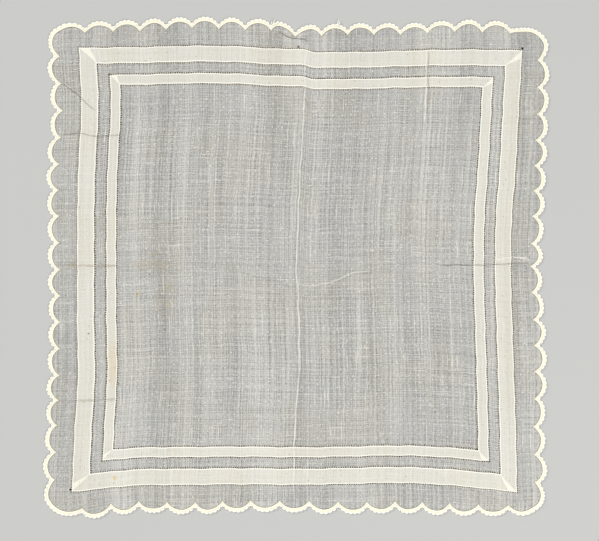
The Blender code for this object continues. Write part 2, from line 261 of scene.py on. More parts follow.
def lobed_outline(notch_inset, crest_inset):
    """The closed lobed edge of the flat cut: an arc for each lobe, and a bigger one round each corner."""
    rise = LOBE_RISE + notch_inset - crest_inset
    sides = [side_notches(side, notch_inset) for side in CORNER_LOBES]
    arcs = []
    for notches, following, corner in zip(sides, sides[1:] + sides[:1], CORNER_LOBES.values()):
        for start, end in zip(notches[:-1], notches[1:]):
            arcs.append(lobe_arc(start, end, rise, STEPS_PER_LOBE))
        corner_rise = corner.rise * MM + notch_inset / math.sqrt(2) - crest_inset
        arcs.append(lobe_arc(notches[-1], following[0], corner_rise, STEPS_PER_CORNER, corner.lean * MM))
    return np.concatenate(arcs)


whole = drifted(lobed_outline(0, 0))
MIDDLE = (whole.min(axis=0) + whole.max(axis=0)) / 2


def lying(flat):
    """Plan positions in the row frame: the drift, less the sheet's middle, with a slight hand-sewn waver."""
    s, t = flat[:, 0] / MM, flat[:, 1] / MM
    waver_x = 0.16 * np.sin(t / 3.7 + 1.3 * np.sin(s / 31)) + 0.10 * np.sin(t / 1.9 + s / 45)
    waver_y = 0.16 * np.sin(s / 4.1 + 1.1 * np.sin(t / 27)) + 0.10 * np.sin(s / 2.1 + t / 39)
    return drifted(flat) - MIDDLE + np.stack([waver_x, waver_y], axis=1) * MM


def spaced_along(route, step):
    """Points a step apart along a route, and each one's share of the way."""
    corners = np.array(route, float) * MM
    lengths = np.linalg.norm(np.diff(corners, axis=0), axis=1)
    walked = np.concatenate([[0], np.cumsum(lengths)])
    at = np.linspace(0, walked[-1], max(3, math.ceil(walked[-1] / step) + 1))
    line = np.stack([np.interp(at, walked, corners[:, axis]) for axis in (0, 1)], axis=1)
    return line, at / walked[-1]


def directions(ways):
    """Each way made one long, and the direction a quarter turn counter-clockwise from it."""
    along = ways / np.linalg.norm(ways, axis=1)[:, None]
    return along, np.stack([-along[:, 1], along[:, 0]], axis=1)


def crease_line(crease, step):
    """A crease's route as it really runs: its straight stretches wander a little to either side."""
    line, share = spaced_along(crease.route, step)
    _, across = directions(np.gradient(line, axis=0))
    walked = share * len(line) * step / MM
    wander = 0.16 * np.sin(walked / 5.3 + len(crease.name)) + 0.10 * np.sin(walked / 2.2)
    fade = np.minimum(1, np.minimum(share, 1 - share) * 8)
    return line + across * (wander * fade * MM)[:, None], share, across


def near_crease(crease, flat):
    """For each point, how far it is from a crease's line, and its strength there: it fades to both ends and
    swells a little along the way."""
    line, share, _ = crease_line(crease, 4 * MM)
    best = np.full(len(flat), np.inf)
    along = np.zeros(len(flat))
    low, high = line.min(axis=0) - 5 * MM, line.max(axis=0) + 5 * MM
    close = np.flatnonzero(((flat > low) & (flat < high)).all(axis=1))
    for i in range(len(line) - 1):
        run = line[i + 1] - line[i]
        u = np.clip((flat[close] - line[i]) @ run / (run @ run), 0, 1)
        off = np.linalg.norm(flat[close] - line[i] - u[:, None] * run, axis=1)
        nearer = off < best[close]
        best[close[nearer]] = off[nearer]
        along[close[nearer]] = (share[i] + u * (share[i + 1] - share[i]))[nearer]
    ends = np.clip(np.minimum(along, 1 - along) / 0.12, 0, 1)
    return best, ends * (2 - ends) * (1 + 0.15 * np.sin(along * 37 + len(crease.name)))


def relief(flat):
    """Height of the cloth over what it lies on: domes for the swells, rises and folds for the creases, and a
    fine even crinkle between them."""
    height = np.zeros(len(flat))
    for swell in SWELLS:
        across = (flat[:, 0] / MM - swell.x) / swell.reach_x
        up = (flat[:, 1] / MM - swell.y) / swell.reach_y
        height += swell.height * MM * np.clip(1 - across**2 - up**2, 0, 1) ** 2
    for crease in CREASES:
        off, strength = near_crease(crease, flat)
        rise = crease.rise * np.clip(1 - (off / (crease.half_width * MM)) ** 2, 0, 1) ** 2
        fold = crease.fold * np.clip(1 - off / (crease.fold_half_width * MM), 0, 1) ** 2
        height += MM * strength * (rise + fold)
    s, t = flat[:, 0] / MM, flat[:, 1] / MM
    crinkle = np.sin(s / 5.1 + 1.7 * np.sin(t / 23)) * np.sin(t / 6.3 + 1.4 * np.sin(s / 19))
    return np.maximum(height, 0) + CRINKLE * np.clip(crinkle, 0, 1) ** 2


def fold_shade(flat):
    """How pale (plus) or dark (minus) the folds are painted: painted highlight or painted shade near the
    line, gone most of a fold away.
    """
    shade = np.zeros(len(flat))
    for crease in CREASES:
        off, strength = near_crease(crease, flat)
        near = np.clip(1.5 - 1.5 * off / (0.8 * crease.fold_half_width * MM), 0, 1)
        shade += crease.shade * strength * near
    return np.clip(shade, -1, 1)


def net_faces(rows, columns, round_trip=False):
    """Two triangles for each cell of a net of points kept row by row. A round trip also joins each row's last
    point to its first."""
    i, j = np.meshgrid(np.arange(rows - 1), np.arange(columns - 1 + round_trip), indexing="ij")
    a = (i * columns + j).ravel()
    b = (i * columns + (j + 1) % columns).ravel()
    halves = [np.stack([a, b, b + columns], axis=1), np.stack([a, b + columns, a + columns], axis=1)]
    return np.concatenate(halves)


def rod_faces(rings, sides):
    """The faces of a closed rod whose points are kept ring by ring: its skin, and a fan on each end."""
    k = np.arange(1, sides - 1)
    fan = np.stack([0 * k, k, k + 1], axis=1)
    return np.concatenate([net_faces(rings, sides, True)[:, ::-1], fan, (rings - 1) * sides + fan[:, ::-1]])


def placed(name, data):
    """An object with that data, put into the scene."""
    made = bpy.data.objects.new(name, data)
    bpy.context.scene.collection.objects.link(made)
    return made


def new_piece(name, points, faces, material, slot, nodes=(), smooth=40):
    """A finished piece: its mesh from whole arrays, smooth but for edges sharper than the given angle."""
    mesh = bpy.data.meshes.new(name)
    mesh.from_pydata(np.asarray(points).tolist(), [], np.asarray(faces).tolist())
    mesh.shade_smooth()
    mesh.set_sharp_from_angle(angle=math.radians(smooth))
    mesh.materials.append(material)
    piece = placed(name, mesh)
    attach(piece, "root")
    if nodes:
        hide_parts(*nodes)
    return piece


def store(piece, name, values, kind="FLOAT_VECTOR"):
    """Keeps a value for each point of a piece, for its material to read."""
    made = piece.data.attributes.new(name, kind, "POINT")
    made.data.foreach_set("vector" if kind == "FLOAT_VECTOR" else "value", np.asarray(values, "f").ravel())


def keep_cut(piece, flat):
    """Keeps each point's place on the flat cut, and the folds' painted highlight and painted shade there."""
    store(piece, "cut", np.column_stack([flat, np.zeros(len(flat))]))
    store(piece, "fold", fold_shade(flat), "FLOAT")


def solid_sheet(flat, faces, lift, thickness):
    """Both faces and the rim of a thin sheet: the plan triangles at relief plus lift, and again a thickness
    higher, joined along every edge that only one triangle has. The thickness may vary over the sheet."""
    count = len(flat)
    plan = lying(flat)
    low = relief(flat) + lift
    points = np.concatenate([np.column_stack([plan, low]), np.column_stack([plan, low + thickness])])
    edges = np.concatenate([faces[:, [0, 1]], faces[:, [1, 2]], faces[:, [2, 0]]])
    code = np.sort(edges, axis=1) @ np.array([count, 1])
    _, first, times = np.unique(code, return_index=True, return_counts=True)
    rim = edges[first[times == 1]]
    a, b = rim[:, 0], rim[:, 1]
    walls = np.concatenate([np.stack([a, b, b + count], axis=1), np.stack([a, b + count, a + count], axis=1)])
    return points, np.concatenate([faces[:, ::-1], faces + count, walls])


# Materials of the cloth
# Fine plain-woven lawn: thin yarns with thicker slubs that run in streaks both ways, small open pores between
# them, a few brown specks and old stains. The weave is drawn on the flat cut, so it follows the drift.

STAIN_TINTS = {"brown": (0.50, 0.33, 0.16), "yellow": (0.96, 0.83, 0.60), "grey": (0.55, 0.50, 0.40)}
Stain = namedtuple("Stain", "name cloth tint x y reach_x reach_y strength")
STAINS = [Stain(*row) for row in (
    ("left_band_spot", "bands", "brown", -140.3, -44.7, 0.9, 0.9, 1.0),
    ("inner_band_spot", "ground", "brown", -120.3, -78.7, 1.0, 1.3, 1.0),
    ("yellowed_band", "bands", "yellow", -123.4, -66.3, 6.0, 19.0, 0.45),
    ("left_crease_mark", "bands", "brown", -133.0, 1.2, 19.0, 1.2, 0.36),
    ("left_crease_mark_low", "bands", "grey", -133.0, -89.6, 19.0, 1.2, 0.38),
    ("left_crease_smear", "ground", "yellow", -146.0, 1.1, 15.0, 2.4, 0.45),
    ("between_bands_smear", "ground", "grey", -130.5, 1.1, 5.0, 1.6, 0.35),
    ("lower_left_spot", "bands", "yellow", -122.5, -142.1, 2.0, 2.0, 1.0),
    ("left_panel_spot", "ground", "brown", -99.1, -4.8, 0.8, 0.8, 0.7),
    ("left_panel_low_spot", "ground", "brown", -89.0, -42.0, 0.8, 0.8, 0.7),
    ("worn_ring_rim", "ground", "brown", 1.5, 149.0, 1.4, 1.3, 0.7),
    ("top_spot", "ground", "brown", -2.6, 101.2, 0.8, 0.8, 1.0),
    ("yellow_patch", "ground", "yellow", -107.2, -18.3, 2.4, 3.6, 0.6),
    ("tan_cloud", "ground", "yellow", -87.0, -19.3, 11.0, 22.0, 0.14),
    ("tan_level_cloud", "ground", "yellow", -98.0, 1.8, 17.0, 4.5, 0.32),
    ("tan_patch_high", "ground", "yellow", -96.0, 9.0, 2.6, 2.2, 0.45),
    ("tan_patch_middle", "ground", "yellow", -86.0, -13.5, 4.5, 2.4, 0.28),
    ("tan_patch_low", "ground", "yellow", -87.6, -25.0, 3.0, 3.4, 0.38),
)]


def add(tree, kind, inputs=None, **settings):
    """A shader node with its settings, and its inputs set or linked."""
    made = tree.nodes.new("ShaderNode" + kind)
    for name, value in settings.items():
        setattr(made, name, value)
    for socket, value in (inputs or {}).items():
        if isinstance(value, bpy.types.NodeSocket):
            tree.links.new(value, made.inputs[socket])
        else:
            made.inputs[socket].default_value = value
    return made


def maths(tree, operation, *values, clamp=False):
    """One sum on numbers, and its result."""
    return add(tree, "Math", dict(enumerate(values)), operation=operation, use_clamp=clamp).outputs[0]


def waves(tree, value, pitch):
    """A wave from -1 to 1 along a length, with a crest every pitch."""
    return maths(tree, "COSINE", maths(tree, "MULTIPLY", value, 2 * math.pi / pitch))


def noise(tree, where, scale, shift, detail=1.0):
    """Soft noise from 0 to 1 over the plane, stretched by a scale for each axis, in waves per millimetre."""
    moved = {0: where, 1: (*scale, 0), 2: (shift, shift, 0)}
    moved = add(tree, "VectorMath", moved, operation="MULTIPLY_ADD").outputs[0]
    inputs = {"Vector": moved, "Scale": 1.0, "Detail": detail}
    return add(tree, "TexNoise", inputs, noise_dimensions="2D").outputs["Fac"]


def ramp(tree, value, low, high, to_low=0.0, to_high=1.0):
    """The value taken from one range to another, held at its ends."""
    inputs = {"Value": value, "From Min": low, "From Max": high, "To Min": to_low, "To Max": to_high}
    return add(tree, "MapRange", inputs, clamp=True, interpolation_type="SMOOTHSTEP").outputs[0]


def mixed(tree, share, one, other, blend="MIX"):
    """Two colours mixed by a share."""
    made = add(tree, "Mix", {0: share}, data_type="RGBA", blend_type=blend, clamp_factor=True)
    for socket, value in ((6, one), (7, other)):
        if isinstance(value, bpy.types.NodeSocket):
            tree.links.new(value, made.inputs[socket])
        else:
            made.inputs[socket].default_value = (*value, 1)
    return made.outputs[2]


def plain_material(name, roughness, shine):
    """A material with only its shader, set to a roughness and a shine, and its node tree."""
    material = bpy.data.materials.new(name)
    material.use_nodes = True
    shader = material.node_tree.nodes["Principled BSDF"]
    shader.inputs["Roughness"].default_value = roughness
    shader.inputs["Specular IOR Level"].default_value = shine
    return material, material.node_tree, shader


def kept(tree, name):
    """A number kept for each point of the piece."""
    return add(tree, "Attribute", attribute_name=name).outputs["Fac"]


def bumped(tree, shader, strength, height):
    """Fine relief too small for the mesh, a tenth of a millimetre deep."""
    bump = add(tree, "Bump", {"Strength": strength, "Distance": 0.0001, "Height": height})
    tree.links.new(bump.outputs[0], shader.inputs["Normal"])


def flat_cut_mm(tree):
    """The flat cut's coordinates at the shaded point, in millimetres."""
    cut = add(tree, "Attribute", attribute_name="cut").outputs["Vector"]
    return add(tree, "VectorMath", {0: cut, "Scale": 1000.0}, operation="SCALE").outputs[0]


def stained(tree, colour, cloth):
    """The colour with each old stain of that cloth soaked in, softly edged and uneven."""
    place = add(tree, "TexCoord").outputs["Object"]
    place = add(tree, "VectorMath", {0: place, "Scale": 1000.0}, operation="SCALE").outputs[0]
    rag = maths(tree, "MULTIPLY_ADD", noise(tree, place, (0.5, 0.5), 2.0), 0.9, -0.45)
    for stain in STAINS:
        if stain.cloth != cloth:
            continue
        away = add(tree, "VectorMath", {0: place, 1: (stain.x, stain.y, 0)}, operation="SUBTRACT")
        reach = (1 / stain.reach_x, 1 / stain.reach_y, 0)
        away = add(tree, "VectorMath", {0: away.outputs[0], 1: reach}, operation="MULTIPLY")
        away = add(tree, "VectorMath", {0: away.outputs[0]}, operation="LENGTH").outputs["Value"]
        share = ramp(tree, maths(tree, "ADD", away, rag), 0.35, 1.1, stain.strength, 0.0)
        colour = mixed(tree, share, colour, STAIN_TINTS[stain.tint], "MULTIPLY")
    return colour


def drawn_rows(tree, s_t, colour):
    """The ground's colour with the rows along the frames where threads were drawn out and it shows brownish:
    a point's row is told by the greater of its two distances from the middle."""
    reach = maths(tree, "MAXIMUM", maths(tree, "ABSOLUTE", s_t[0]), maths(tree, "ABSOLUTE", s_t[1]))
    for row in HOLE_ROWS:
        line = maths(tree, "ABSOLUTE", maths(tree, "SUBTRACT", reach, hole_line(row, "top") / MM))
        share = ramp(tree, line, 0.32, 0.72, row.gutter, 0.0)
        colour = mixed(tree, share, colour, (0.20, 0.145, 0.10))
    return colour


# The weave's slubs, short and long, level and upright: their noise's scale and shift, the range of noise in
# which they rise, and how strong they are at most
SLUBS = (
    ((0.45, 2.4), 71.0, 0.74, 0.84, 1.0),
    ((2.4, 0.40), 83.0, 0.74, 0.84, 1.0),
    ((0.055, 1.3), 91.0, 0.78, 0.88, 0.6),
    ((1.3, 0.040), 97.0, 0.77, 0.87, 0.8),
)


def lawn_material(name, cloth, dark, light, pore, contrast, pores, slubs, flecks, sheer):
    """Woven lawn between a dark and a light tone. Every yarn has its own tone along its whole length, so the
    warp's run of tones and the weft's are added, and where both run thin an open pore shows. Contrast, pores,
    slubs and flecks say how strongly those show, and sheer how much is seen through between the yarns."""
    material, tree, shader = plain_material(name, 0.88, 0.25)
    cut = flat_cut_mm(tree)
    s_t = add(tree, "SeparateXYZ", {0: cut}).outputs
    soft = partial(noise, tree, cut)

    warp = soft((0.50, 0.004), 0.0, 2.0)
    warp_fine = soft((1.05, 0.009), 31.0, 1.0)
    weft = soft((0.006, 0.42), 11.0, 2.0)
    weft_fine = soft((0.015, 1.00), 47.0, 1.0)
    upright = maths(tree, "MULTIPLY_ADD", warp, 0.50, maths(tree, "MULTIPLY", warp_fine, 0.85))
    upright = maths(tree, "MULTIPLY_ADD", soft((0.050, 0.0015), 53.0, 1.0), 0.80, upright)
    level = maths(tree, "MULTIPLY_ADD", weft, 0.18, maths(tree, "MULTIPLY", weft_fine, 0.34))
    grain = maths(tree, "MULTIPLY", soft((0.85, 0.85), 7.0, 0.0), 0.21)
    tone = maths(tree, "ADD", maths(tree, "ADD", upright, level), grain)
    tone = ramp(tree, tone, 1.44 - 0.8 / contrast, 1.44 + 0.8 / contrast)

    bend_s = maths(tree, "MULTIPLY_ADD", warp, 3.0, s_t[0])
    bend_t = maths(tree, "MULTIPLY_ADD", weft, 3.0, s_t[1])
    open_s = maths(tree, "ADD", waves(tree, bend_s, 1.50), ramp(tree, warp_fine, 0.60, 0.35, -0.3, 0.7))
    open_t = maths(tree, "ADD", waves(tree, bend_t, 1.55), ramp(tree, weft_fine, 0.60, 0.35, -0.3, 0.7))
    dots = maths(tree, "MULTIPLY", ramp(tree, open_s, -0.3, 0.9), ramp(tree, open_t, -0.3, 0.9))
    where = ramp(tree, soft((0.15, 0.020), 5.0, 1.0), 0.36, 0.62, 0.55, 1.0)
    deep = maths(tree, "MULTIPLY", maths(tree, "MULTIPLY", dots, where), pores)

    slub = 0.0
    for scale, shift, low, high, most in SLUBS:
        slub = maths(tree, "MAXIMUM", slub, ramp(tree, soft(scale, shift, 0.0), low, high, 0.0, most))

    yarns = maths(tree, "ADD", waves(tree, s_t[0], 0.36), waves(tree, s_t[1], 0.38))
    yarns = maths(tree, "MULTIPLY", yarns, 0.25)

    colour = mixed(tree, tone, dark, light)
    colour = mixed(tree, deep, colour, pore)
    colour = mixed(tree, maths(tree, "MULTIPLY", slub, slubs), colour, (0.97, 0.96, 0.90))
    hue = soft((0.030, 0.022), 17.0, 2.0)
    fleck = soft((0.8, 0.8), 23.0, 0.0)
    speck = soft((0.62, 0.62), 61.0, 0.0)
    for value, low, high, most, tint in (
        (hue, 0.44, 0.66, 0.6, (1.0, 0.98, 0.93)),
        (fleck, 0.68, 0.82, flecks, (1.0, 0.86, 0.66)),
        (fleck, 0.32, 0.18, flecks, (0.82, 0.92, 1.0)),
        (speck, 0.80, 0.90, 0.6, (0.60, 0.50, 0.38)),
    ):
        colour = mixed(tree, ramp(tree, value, low, high, 0.0, most), colour, tint, "MULTIPLY")
    if cloth == "ground":
        colour = drawn_rows(tree, s_t, colour)
    if cloth == "bands":
        # Both turned edges show paler: partly the extra turned-under lawn, partly a painted highlight along
        # the roll
        white = ramp(tree, kept(tree, "edge_mm"), 0.38, 0.80, 1.0, 0.0)
        colour = mixed(tree, white, colour, (0.97, 0.96, 0.87))
    # Painted light on the folds: a painted highlight where the fold shade is plus, and painted shade where it
    # is minus, stronger on the sheer ground than on the bands
    fold = kept(tree, "fold")
    painted_fold_highlight = maths(tree, "MAXIMUM", fold, 0.0)
    painted_fold_shade = maths(tree, "MINIMUM", fold, 0.0)
    painted_fold_shade = maths(tree, "MULTIPLY", painted_fold_shade, -1.15 if cloth == "ground" else -0.75)
    colour = mixed(tree, painted_fold_highlight, stained(tree, colour, cloth), (0.98, 0.96, 0.86))
    colour = mixed(tree, painted_fold_shade, colour, (0.14, 0.120, 0.085))
    tree.links.new(colour, shader.inputs["Base Color"])

    if sheer > 0:
        solid = maths(tree, "MULTIPLY_ADD", deep, -0.35, 1 - sheer)
        solid = maths(tree, "MULTIPLY_ADD", yarns, 0.25, solid)
        solid = maths(tree, "MULTIPLY_ADD", slub, 0.2, solid)
        solid = maths(tree, "ADD", solid, maths(tree, "ABSOLUTE", fold), clamp=True)
        tree.links.new(solid, shader.inputs["Alpha"])
    height = maths(tree, "MULTIPLY_ADD", yarns, 0.5, maths(tree, "MULTIPLY", slub, 0.7))
    height = maths(tree, "SUBTRACT", height, dots)
    bumped(tree, shader, 0.35, height)
    return material


# The ground
# One square of sheer lawn under everything else, lobed all round. Its triangles are a plain grid, drawn
# closer along the creases, inside the lobed outline.

LAWN_THICK = 0.40 * MM
GROUND_STEP = 1.9 * MM

# How far in from the lace's outer line the ground ends under it, in a notch and on a crest
GROUND_END_NOTCH = 2.5 * MM
GROUND_END_CREST = 2.4 * MM


def net_inside(outline, step):
    """Points and triangles inside an outline: a grid, and rows of points beside and on each crease."""
    rows = []
    for crease in CREASES:
        line, _, across = crease_line(crease, 2.0 * MM)
        widths = np.array([0, 0.27, 0.8, 1.0]) * crease.fold_half_width
        if crease.rise > 0:
            widths = np.concatenate([widths, [0.75 * crease.half_width, crease.half_width]])
        for width in sorted({*widths, *-widths}):
            rows.append(line[1:-1] + across[1:-1] * width * MM)
    close = np.concatenate([*rows, outline])
    reach = SIDE / 2
    run = np.arange(-reach, reach, step)
    grid = np.stack(np.meshgrid(run, run), axis=-1).reshape(-1, 2)
    cell = 0.9 * step
    code = np.array([100003, 1])
    taken = np.unique(np.concatenate([
        np.floor((close + np.array(shift) * cell / 2) / cell).astype(int) @ code
        for shift in ((0, 0), (1, 0), (-1, 0), (0, 1), (0, -1))
    ]))
    free = ~np.isin(np.floor(grid / cell).astype(int) @ code, taken)
    points = np.concatenate([outline, *rows, grid[free]])
    count = len(outline)
    lines = [(i, (i + 1) % count) for i in range(count)]
    found = delaunay_2d_cdt([Vector(p) for p in points], lines, [list(range(count))], 1, 1e-7)
    faces = [(face[0], face[j], face[j + 1]) for face in found[2] for j in range(1, len(face) - 1)]
    used, faces = np.unique(faces, return_inverse=True)
    return np.array(found[0])[used], faces.reshape(-1, 3)


ground_edge = lobed_outline(GROUND_END_NOTCH, GROUND_END_CREST)
ground_flat, ground_faces = net_inside(ground_edge, GROUND_STEP)
points, faces = solid_sheet(ground_flat, ground_faces, 0, LAWN_THICK)
sheer_lawn = lawn_material(
    "sheer lawn", "ground", dark=(0.350, 0.353, 0.341), light=(0.837, 0.829, 0.783), pore=(0.09, 0.09, 0.09),
    contrast=0.80, pores=0.38, slubs=0.60, flecks=0.5, sheer=0.40,
)
ground = new_piece("lawn_ground_sheet", points, faces, sheer_lawn, "sheer_lawn", ["lawn_ground"])
keep_cut(ground, np.tile(ground_flat, (2, 1)))


# The frames
# Two frames of doubled lawn, each of four strips mitred at the corners. Both long edges of a strip are turned
# under and sewn down, so they are a little rounder, thicker and whiter than its middle; that whiter edge is
# partly the extra lawn and partly a painted highlight along the roll.

BAND_THICK = 0.42 * MM
BAND_STEP = 1.2 * MM
SEWN_GAP = 0.02 * MM

# The columns across a strip fan out to the mitre over this much of its ends
MITRE_END = 8 * MM


def crossing_places(inner, outer, side):
    """Close columns along a strip wherever a crease crosses it, turned back to the top side."""
    places = []
    for crease in CREASES:
        line, _, _ = crease_line(crease, 1 * MM)
        s, t = turned(line, -TURNS[side]).T
        here = s[(t > inner - 2 * MM) & (t < outer + 2 * MM) & (np.abs(s) < inner - MITRE_END)]
        if len(here):
            places.append(np.arange(here.min() - 1.6 * MM, here.max() + 1.6 * MM, 0.3 * MM))
    return np.concatenate(places) if places else np.zeros(0)


def strip_grid(inner, outer, side):
    """Rows of points along a mitred strip, closer at its edges and at creases, and each one's depth from the
    nearer edge. The columns run straight across, and fan out to the mitre at both ends."""
    width = outer - inner
    near = np.array([0, 0.12, 0.3, 0.55, 0.8, 1.1, 1.8]) * MM
    middle = np.arange(2.6 * MM, width - 2.5 * MM, 0.85 * MM)
    depths = np.unique(np.concatenate([near, middle, width - near]).round(7))
    straight = inner - MITRE_END
    even = np.linspace(-straight, straight, round(2 * straight / BAND_STEP) + 1)
    close = crossing_places(inner, outer, side)
    close = close[np.abs(close) < straight - 0.2 * MM]
    gap = np.abs(even[:, None] - close[None, :]).min(axis=1) if len(close) else np.full(len(even), 1.0)
    columns = np.sort(np.concatenate([even[(gap > 0.25 * MM) | (np.abs(even) == straight)], close]))
    fan = np.linspace(0, 1, 17)[1:]
    reach = inner + depths
    end = straight + fan[None, :] * (reach[:, None] - straight)
    s = np.concatenate([-end[:, ::-1], np.tile(columns, (len(depths), 1)), end], axis=1)
    across = s.shape[1]
    t = np.repeat(reach[:, None], across, axis=1)
    edge = np.repeat(np.minimum(depths, width - depths)[:, None], across, axis=1)
    flat = turned(np.stack([s.ravel(), t.ravel()], axis=1), TURNS[side])
    return flat, net_faces(len(depths), across), edge.ravel()


def turned_edge_profile(edge):
    """The swell of a turned edge: it rolls over in the first 0.15 mm and sinks to the flat by 1.1 mm."""
    roll = np.clip(edge / (0.3 * MM), 0, 1)
    sink = np.clip(1 - edge / (1.1 * MM), 0, 1)
    return 0.16 * MM * np.sqrt(roll) * sink - 0.14 * MM * (1 - roll)


band_lawn = lawn_material(
    "doubled lawn", "bands", dark=(0.535, 0.523, 0.462), light=(0.76, 0.741, 0.672), pore=(0.36, 0.34, 0.29),
    contrast=0.55, pores=0.20, slubs=0.30, flecks=0.15, sheer=0,
)

for frame_name in FRAMES:
    for side in TURNS:
        outer, inner = strip_edges(frame_name, side)
        flat, faces, edge = strip_grid(inner, outer, side)
        swell = turned_edge_profile(edge)
        points, faces = solid_sheet(flat, faces, LAWN_THICK + SEWN_GAP, BAND_THICK + swell)
        name = f"{frame_name}_band_{side}"
        band = new_piece(f"{name}_strip", points, faces, band_lawn, "band_lawn", [name])
        keep_cut(band, np.tile(flat, (2, 1)))
        store(band, "edge_mm", np.tile(edge / MM, 2), "FLOAT")


# The mitres' folded corners
# At each corner one strip is folded over the end of the other, and the triangle of extra lawn that lies under
# the fold shows as a paler, slightly raised wedge from the inner corner to the outer edge.

FOLD_THICK = 0.12 * MM

# How much each wedge widens on its way out, by the side whose strip lies under it
WIDENING = {
    "outer": {"top": 0.62, "right": 0.50, "bottom": 0.52, "left": 0.50},
    "inner": {"top": 0.70, "right": 0.55, "bottom": 0.60, "left": 0.55},
}


def wedge(inner, outer, widening, side):
    """A wedge on the top strip's left end, turned to its side: rows from the apex at the inner corner, each
    as wide as widening times its distance from the apex, on the strip's side of the mitre."""
    rows, columns = 13, 7
    u = np.linspace(0.03, 0.985, rows)[:, None]
    v = np.linspace(0, 1, columns)[None, :]
    reach = inner + (outer - inner) * u
    width = widening * (outer - inner) * u
    s = -reach + width * v + 0.1 * MM
    t = reach + 0 * v
    return turned(np.stack([s.ravel(), t.ravel()], axis=1), TURNS[side]), net_faces(rows, columns)


def joined(parts):
    """Several lots of points and faces as one."""
    points, faces, count = [], [], 0
    for own_points, own_faces in parts:
        points.append(own_points)
        faces.append(own_faces + count)
        count += len(own_points)
    return np.concatenate(points), np.concatenate(faces)


wedges, wedge_flats = [], []
for frame_name, sides in WIDENING.items():
    for side, widening in sides.items():
        outer, inner = strip_edges(frame_name, side)
        flat, faces = wedge(inner, outer, widening, side)
        wedges.append(solid_sheet(flat, faces, LAWN_THICK + BAND_THICK - SEWN_GAP, FOLD_THICK))
        wedge_flats += [flat, flat]
fold_lawn = lawn_material(
    "folded corner lawn", "folds", dark=(0.76, 0.735, 0.63), light=(0.90, 0.87, 0.765), pore=(0.6, 0.57, 0.5),
    contrast=0.6, pores=0.1, slubs=0.3, flecks=0.1, sheer=0,
)
mitres = new_piece("mitre_folds", *joined(wedges), fold_lawn, "band_lawn")
keep_cut(mitres, np.concatenate(wedge_flats))


# The hemstitching
# Along every long edge of the frames some threads of the ground were drawn out and the rest tied in bundles,
# which leaves a row of small holes, drawn as dark discs of painted shade, with a wrap of white thread between
# each two.

STITCH_PITCH = 1.52 * MM
HOLE_RADIUS = 0.44 * MM
HOLE_WALL = 0.10 * MM
HOLE_SUNK = 0.05 * MM
WRAP_HALF_LENGTH = 0.50 * MM
WRAP_THICK = 0.24 * MM
WRAP_SUNK = 0.02 * MM

# Larger holes and worn spots, in millimetres from the sheet's middle
Hole = namedtuple("Hole", "name x y radius")
BIG_HOLES = (
    Hole("outer_top_right", 152.8, 148.0, 0.85),
    Hole("outer_bottom_left", -152.4, -150.3, 1.0),
    Hole("inner_top_left", -126.0, 130.2, 0.80),
    Hole("inner_top_left_inside", -119.4, 122.8, 0.65),
    Hole("inner_bottom_right_inside", 122.3, -122.9, 0.70),
    Hole("inner_bottom_right", 130.4, -130.4, 0.60),
    Hole("outer_bottom_right_inside", 137.8, -138.5, 0.8),
    Hole("worn_ring", 1.4, 149.0, 0.55),
)


def repeated(shape, faces, places, along, across, sizes):
    """One small shape at many places: its x runs along, its y across and its z up, by each place's sizes."""
    local = shape[None, :, :] * sizes[:, None, :]
    points = places[:, None, :] + np.zeros_like(local)
    points[:, :, :2] += local[:, :, :1] * along[:, None, :] + local[:, :, 1:2] * across[:, None, :]
    points[:, :, 2] += local[:, :, 2]
    all_faces = faces[None, :, :] + (np.arange(len(places)) * len(shape))[:, None, None]
    return points.reshape(-1, 3), all_faces.reshape(-1, faces.shape[1])


def fan_disc(sides):
    """A round flat disc of radius 1 with a low wall, closed below."""
    turns = np.linspace(0, 2 * math.pi, sides, endpoint=False)
    ring = np.stack([np.cos(turns), np.sin(turns), 0 * turns], axis=1)
    points = np.concatenate([ring, ring + [0, 0, 1], [[0, 0, 0], [0, 0, 1]]])
    i = np.arange(sides)
    j = (i + 1) % sides
    low = 0 * i + 2 * sides
    ends = [np.stack([j, i, low], axis=1), np.stack([i + sides, j + sides, low + 1], axis=1)]
    return points, np.concatenate([net_faces(2, sides, True), *ends])


def rounded_bar(half_length, thick, sections, sides):
    """A thread's wrap: a bar along y with rounded ends, its sections ovals half as high as wide, on z = 0."""
    v = np.linspace(-1, 1, sections)
    swell = np.sqrt(np.clip(1 - np.abs(v) ** 2.6, 0.06, 1))
    turns = np.linspace(0, 2 * math.pi, sides, endpoint=False)
    x = swell[:, None] * thick * np.cos(turns)[None, :]
    z = swell[:, None] * thick * (np.sin(turns)[None, :] * 0.5 + 0.5)
    y = np.repeat((v * half_length)[:, None], sides, axis=1)
    return np.stack([x, y, z], axis=-1).reshape(-1, 3), rod_faces(sections, sides)


seeded = np.random.default_rng(7)
hole_flat, hole_along, hole_size = [], [], []
wrap_flat, wrap_along = [], []
for row in HOLE_ROWS:
    for side in TURNS:
        line = hole_line(row, side)
        reach = line - 0.2 * MM
        at = np.linspace(-reach, reach, round(2 * reach / STITCH_PITCH) + 1)
        between = (at[:-1] + at[1:]) / 2
        hole_size.append(np.full(len(at), getattr(row, side)))
        for flats, ways, s in ((hole_flat, hole_along, at), (wrap_flat, wrap_along, between)):
            flats.append(turned(np.column_stack([s, np.full(len(s), line)]), TURNS[side]))
            ways.append(turned(np.tile([[1.0, 0.0]], (len(s), 1)), TURNS[side]))
hole_flat, hole_along, hole_size = map(np.concatenate, (hole_flat, hole_along, hole_size))
wrap_flat, wrap_along = map(np.concatenate, (wrap_flat, wrap_along))

